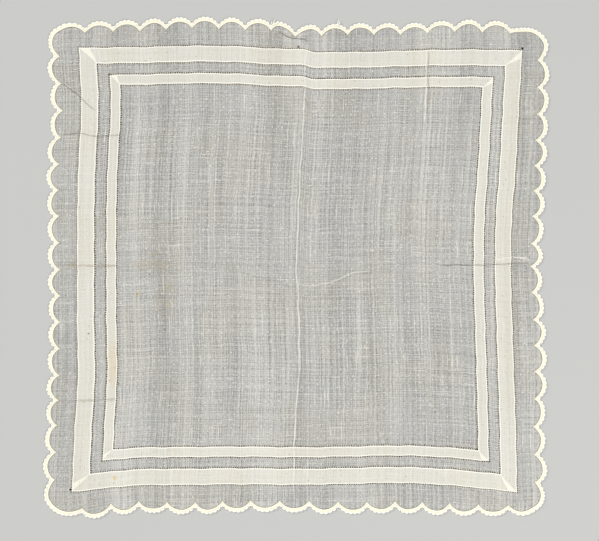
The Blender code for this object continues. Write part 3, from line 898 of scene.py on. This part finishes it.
jitter = seeded.normal(0, 0.07 * MM, hole_flat.shape)
size = hole_size * seeded.uniform(0.62, 1.15, len(hole_size))
places = np.column_stack([lying(hole_flat + jitter), relief(hole_flat) + LAWN_THICK - HOLE_SUNK])
big = np.array([(hole.x, hole.y) for hole in BIG_HOLES]) * MM
nearest = np.linalg.norm(lying(ground_flat)[None, :, :] - big[:, None, :], axis=2).argmin(axis=1)
big_places = np.column_stack([big, relief(ground_flat[nearest]) + LAWN_THICK - HOLE_SUNK])
radii = np.concatenate([size * HOLE_RADIUS, [hole.radius * MM for hole in BIG_HOLES]])
along, across = directions(np.concatenate([hole_along, np.tile([[1.0, 0.0]], (len(big), 1))]))
sizes = np.column_stack([radii, radii * 0.95, np.full(len(radii), HOLE_WALL)])
disc, disc_faces = fan_disc(7)
points, faces = repeated(disc, disc_faces, np.concatenate([places, big_places]), along, across, sizes)
# The holes are dark discs of painted shade, standing in for the dark seen through each opening; the bigger
# the hole, the darker
hole_dark, tree, shader = plain_material("drawn thread holes", 1.0, 0.0)
hole_colour = mixed(tree, kept(tree, "depth"), (0.17, 0.11, 0.07), (0.022, 0.014, 0.010))
tree.links.new(hole_colour, shader.inputs["Base Color"])
holes = new_piece("hemstitch_holes", points, faces, hole_dark, "sheer_lawn")
painted_hole_shade = np.clip((radii / HOLE_RADIUS - 0.5) / 0.35, 0, 1)
store(holes, "depth", np.repeat(painted_hole_shade, len(disc)), "FLOAT")

bar, bar_faces = rounded_bar(WRAP_HALF_LENGTH, WRAP_THICK, 6, 6)
jitter = seeded.normal(0, 0.05 * MM, wrap_flat.shape)
places = np.column_stack([lying(wrap_flat + jitter), relief(wrap_flat) + LAWN_THICK - WRAP_SUNK])
along, across = directions(wrap_along)
sizes = seeded.uniform(0.8, 1.15, (len(places), 1)) * np.ones((1, 3))
points, faces = repeated(bar, bar_faces, places, along, across, sizes)


def thread_material(name, low, high):
    """Spun thread: its tone runs between a low and a high one in fine fibres."""
    material, tree, shader = plain_material(name, 0.8, 0.5)
    place = add(tree, "TexCoord").outputs["Object"]
    grain = add(tree, "TexNoise", {"Vector": place, "Scale": 900.0, "Detail": 2.0}).outputs["Fac"]
    tree.links.new(mixed(tree, ramp(tree, grain, 0.3, 0.6), low, high), shader.inputs["Base Color"])
    return material


wrap_thread = thread_material("natural sewing thread", (0.44, 0.40, 0.32), (0.74, 0.70, 0.60))
wraps = new_piece("hemstitch_wraps", points, faces, wrap_thread, "lace_thread", smooth=60)


# The lace edging
# A narrow machine-made edging sewn along the lobes: a plump cream cord on the inside, a thin tan line beside
# it where the braid's valley is painted darker as painted shade, a flat braid, and a row of small white
# picots round the outside. A dark line of painted shadow runs along the seam inside the cord.

# The edging's section, from the sewn seam on its inside over the top to its outer foot: how far in from the
# lace's outer line on a crest and in a notch, how high, all in millimetres, and how pale. The tone is the
# thread's own cream and tan with painted shade on it: the seam rows are a dark painted shadow between the
# ground and the cord, and the cord's sides and the braid's valley are painted darker than the cord's crown.
Section = namedtuple("Section", "part crest notch height tone")
EDGING = [Section(*row) for row in (
    ("seam foot", 3.25, 3.00, 0.0, 0.0),
    ("seam", 3.20, 2.95, 0.43, 0.0),
    ("seam", 2.95, 2.70, 0.44, 0.0),
    ("cord side", 2.88, 2.62, 0.62, 0.75),
    ("cord crown", 2.45, 2.15, 0.85, 1.0),
    ("cord side", 2.00, 1.72, 0.66, 0.85),
    ("braid valley", 1.72, 1.45, 0.50, 0.4),
    ("braid", 1.30, 1.05, 0.55, 0.5),
    ("braid edge", 0.95, 0.70, 0.50, 0.9),
    ("braid rim", 0.60, 0.38, 0.34, 0.9),
    ("outer foot", 0.65, 0.42, 0.0, 0.8),
)]

# The whipping stitches' pitch along the cord, in millimetres
WHIP_PITCH = 0.62

loops = [lobed_outline(row.notch * MM, row.crest * MM) for row in EDGING]
count = len(loops[0])
rings = [np.column_stack([lying(loop), relief(loop) + row.height * MM]) for loop, row in zip(loops, EDGING)]
points = np.concatenate(rings)
i, j = np.meshgrid(np.arange(len(EDGING)), np.arange(count), indexing="ij")
a = (i * count + j).ravel()
b = (i * count + (j + 1) % count).ravel()
c = ((i + 1) % len(EDGING) * count + (j + 1) % count).ravel()
d = ((i + 1) % len(EDGING) * count + j).ravel()
faces = np.stack([a, d, c, b], axis=1)

lace_cream, tree, shader = plain_material("cream lace thread", 0.8, 0.5)
tone = kept(tree, "tone")
# Tone 0 is the seam's painted shadow; higher tones run through the thread's tan to its cream, the lower of
# them painted shade on the cord's sides and in the braid's valley
colour = mixed(tree, ramp(tree, tone, 0.0, 0.3), (0.20, 0.20, 0.15), (0.86, 0.78, 0.60))
colour = mixed(tree, ramp(tree, tone, 0.45, 0.85), colour, (1.0, 0.97, 0.80))
whip = maths(tree, "SINE", maths(tree, "MULTIPLY", kept(tree, "run_mm"), 2 * math.pi / WHIP_PITCH))
# Painted shade in the grooves between the whipping stitches, where the same wave sinks the bump
colour = mixed(tree, ramp(tree, whip, -1.0, 0.2, 0.16, 0.0), colour, (0.62, 0.54, 0.40), "MULTIPLY")
tree.links.new(colour, shader.inputs["Base Color"])
bumped(tree, shader, 0.4, whip)
edging = new_piece("lace_braid", points, faces, lace_cream, "lace_thread", ["lace_edging"], smooth=70)
store(edging, "tone", np.repeat([row.tone for row in EDGING], count), "FLOAT")
step = np.linalg.norm(np.diff(rings[4], axis=0, append=rings[4][:1]), axis=1)
store(edging, "run_mm", np.tile(np.cumsum(step) / MM, len(EDGING)), "FLOAT")


# The picots
# Each is a small plump loop of the same thread that stands out from the braid's edge.

PICOT_HALF = 1.00 * MM
PICOT_OUT = 0.62 * MM
PICOT_TUBE = 0.42 * MM
PICOT_SPAN = 2.8 * MM


def tube(centre, radius, sides):
    """A thread round a line of points, its rings upright on the line's way across the sheet, capped at both
    ends."""
    _, inward = directions(np.gradient(centre[:, :2], axis=0))
    around = np.linspace(0, 2 * math.pi, sides, endpoint=False)
    plan = centre[:, None, :2] - radius * np.cos(around)[None, :, None] * inward[:, None, :]
    up = centre[:, None, 2:] + radius * np.sin(around)[None, :, None]
    return np.concatenate([plan, up], axis=-1).reshape(-1, 3), rod_faces(len(centre), sides)


thread_white = thread_material("white lace thread", (0.90, 0.88, 0.78), (1.0, 0.99, 0.92))
braid_edge = lobed_outline(0.55 * MM, 0.80 * MM)
before, at, after = braid_edge[0::2], braid_edge[1::2], np.roll(braid_edge, -2, axis=0)[0::2]
chord = lying(after) - lying(before)
along, across = directions(chord)
places = np.column_stack([lying(at), relief(at) + PICOT_TUBE])
size = seeded.uniform(0.88, 1.12, len(places))
stretch = np.clip(np.linalg.norm(chord, axis=1) / PICOT_SPAN, 0.75, 1.25)
sizes = np.column_stack([stretch, size, np.ones(len(places))])
turn = np.linspace(0, math.pi, 9)
centre = np.stack([-PICOT_HALF * np.cos(turn), -PICOT_OUT * np.sin(turn), 0 * turn], axis=1)
loop, loop_faces = tube(centre, PICOT_TUBE, 7)
points, faces = repeated(loop, loop_faces, places, along, across, sizes)
picots = new_piece("lace_picots", points, faces, thread_white, "lace_thread", smooth=80)


# The loose ends
# Short frayed ends of the lace's thread stand out at two places along the top, three in the left tuft and
# two in the right one. Each is given by points along it, in millimetres.

END_RADIUS = 0.26 * MM
ENDS = (
    ((-16.2, 163.3, 0.8), (-15.7, 164.9, 1.2), (-14.9, 166.1, 1.3), (-14.6, 167.3, 0.9)),
    ((-15.9, 163.5, 0.9), (-14.6, 164.5, 1.4), (-13.4, 165.0, 1.4), (-12.8, 166.1, 0.9)),
    ((-16.8, 162.9, 0.7), (-17.2, 164.2, 1.1), (-16.6, 165.4, 1.1), (-17.0, 166.1, 0.7)),
    ((27.6, 162.3, 1.0), (28.2, 163.9, 1.4), (28.0, 165.4, 1.3), (28.9, 167.1, 0.9)),
    ((28.5, 162.6, 0.9), (28.9, 164.0, 1.3), (29.4, 164.9, 1.2), (29.2, 166.0, 0.8)),
)

tails = []
for end in ENDS:
    given = np.array(end) * MM
    share = np.linspace(0, len(given) - 1, 10)
    centre = np.stack([np.interp(share, range(len(given)), given[:, axis]) for axis in (0, 1, 2)], axis=1)
    tails.append(tube(centre, END_RADIUS, 6))
loose_ends = new_piece("loose_ends", *joined(tails), thread_white, "lace_thread", smooth=80)


# The stage
# A plain pale floor, soft light from the upper left, and the camera straight above.

FLOOR_DROP = 0.3 * MM
FLOOR_REACH = 3.0

floor_mesh = bpy.data.meshes.new("floor")
corners = [(x * FLOOR_REACH, y * FLOOR_REACH, -FLOOR_DROP) for x, y in ((-1, -1), (1, -1), (1, 1), (-1, 1))]
floor_mesh.from_pydata(corners, [], [(0, 1, 2, 3)])
floor_pale, tree, shader = plain_material("pale floor", 0.9, 0.5)
shader.inputs["Base Color"].default_value = (0.50, 0.50, 0.485, 1)
floor_mesh.materials.append(floor_pale)
floor = placed("floor", floor_mesh)


def soft_light(name, place, size, watts):
    """A square area light at a place, facing the origin."""
    light = bpy.data.lights.new(name, "AREA")
    light.size = size
    light.energy = watts
    made = placed(name, light)
    made.location = place
    made.rotation_euler = (-Vector(place)).to_track_quat("-Z", "Y").to_euler()


soft_light("key", place=(-1.76, 1.44, 1.44), size=0.8, watts=31)
soft_light("fill", place=(0.75, -0.8, 1.5), size=1.6, watts=23)
world = bpy.data.worlds.new("studio")
world.use_nodes = True
sky = world.node_tree.nodes["Background"].inputs
sky["Color"].default_value = (1, 1, 1, 1)
sky["Strength"].default_value = 0.54
bpy.context.scene.world = world
bpy.context.scene.view_settings.view_transform = "Standard"

# The weave and the drawn-thread holes are as fine as a pixel. Denoising stays on, and its accurate prefilter,
# which would smooth them away, gives way to the fast one.
bpy.context.scene.cycles.denoising_prefilter = "FAST"

camera = bpy.data.cameras.new("camera")
camera.lens = 85
camera.sensor_width = 36
camera_object = placed("camera", camera)
camera_object.location = (2.2 * MM, -2.1 * MM, 0.956)
bpy.context.scene.camera = camera_object
